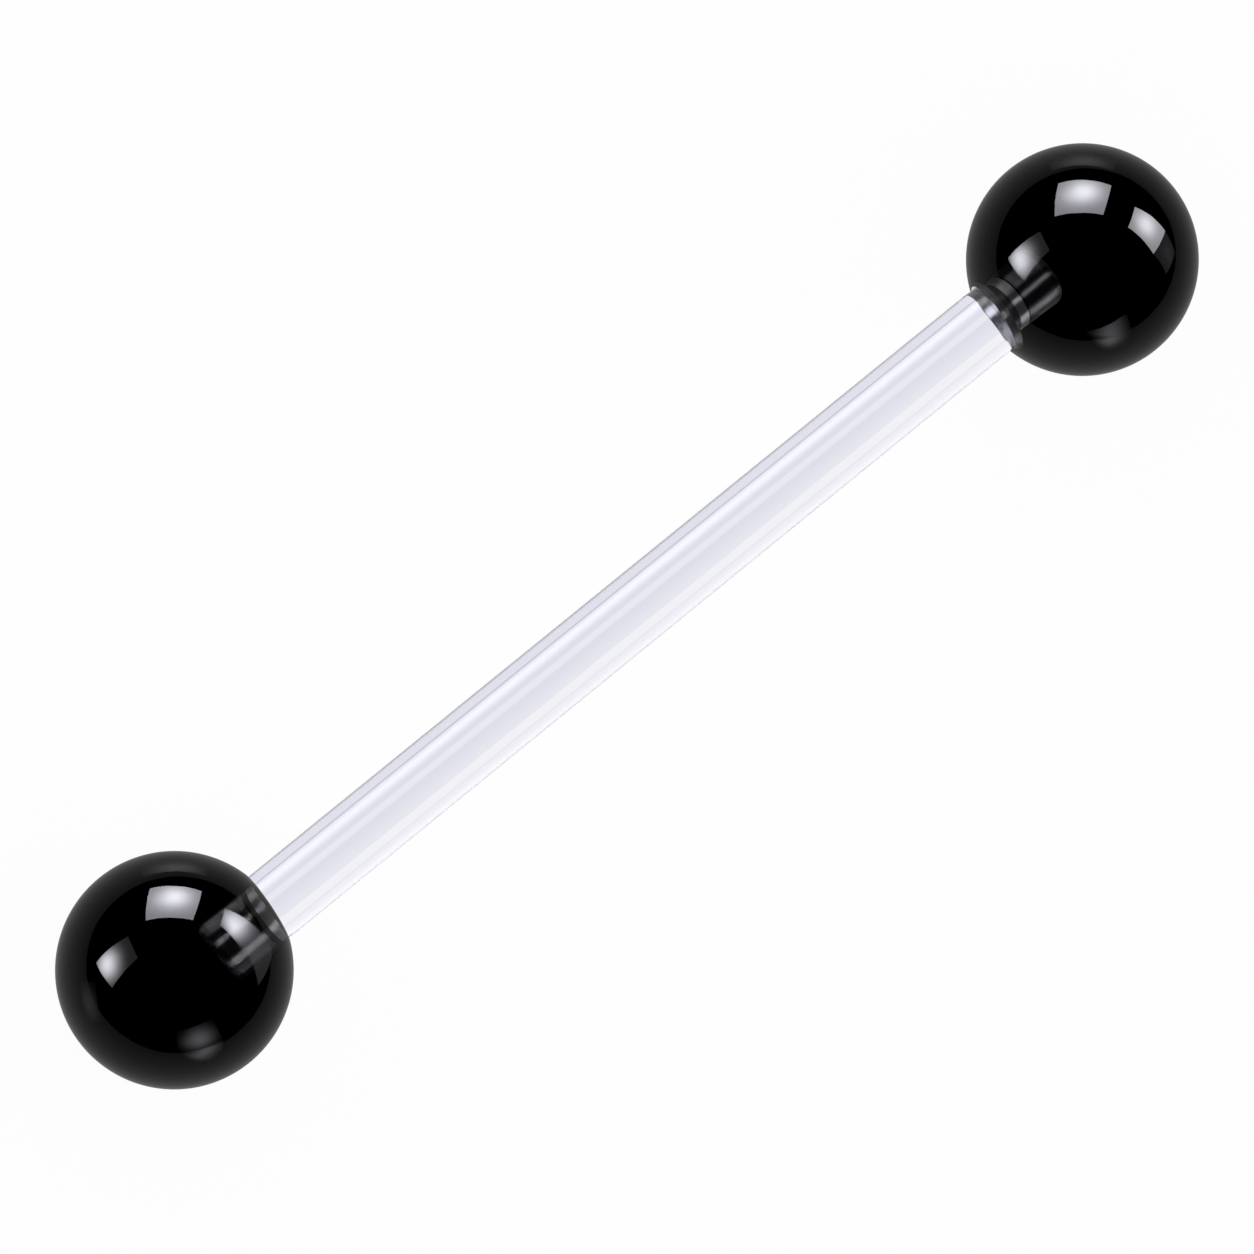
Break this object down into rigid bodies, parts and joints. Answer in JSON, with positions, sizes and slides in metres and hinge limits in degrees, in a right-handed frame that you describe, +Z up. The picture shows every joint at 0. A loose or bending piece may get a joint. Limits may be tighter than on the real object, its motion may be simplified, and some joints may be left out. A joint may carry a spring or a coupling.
{
  "type": "piercing retainer",
  "caption": "Straight barbell piercing retainer: a clear acrylic bar with a smooth peg at each end, and a black ball that pulls off each peg.",
  "frame": {"origin": "on the surface that the balls rest on, under the middle of the bar", "axes": "+X along the bar towards the right ball, +Z up"},
  "size_m": [0.0238, 0.0044, 0.004],
  "materials": {
    "clear_acrylic": "clear, polished, faintly lavender",
    "black_acrylic": "near-black see-through, polished"
  },
  "bodies": {
    "bar": {"bar": "clear_acrylic"},
    "left_ball": {"left_ball": "black_acrylic"},
    "right_ball": {"right_ball": "black_acrylic"}
  },
  "joints": [
    {"name": "left_ball_pull", "type": "slide", "parent": "bar", "child": "left_ball", "axis": [-1, 0, 0], "range_m": [0, 0.02]},
    {"name": "right_ball_pull", "type": "slide", "parent": "bar", "child": "right_ball", "axis": [1, 0, 0], "range_m": [0, 0.02]}
  ]
}
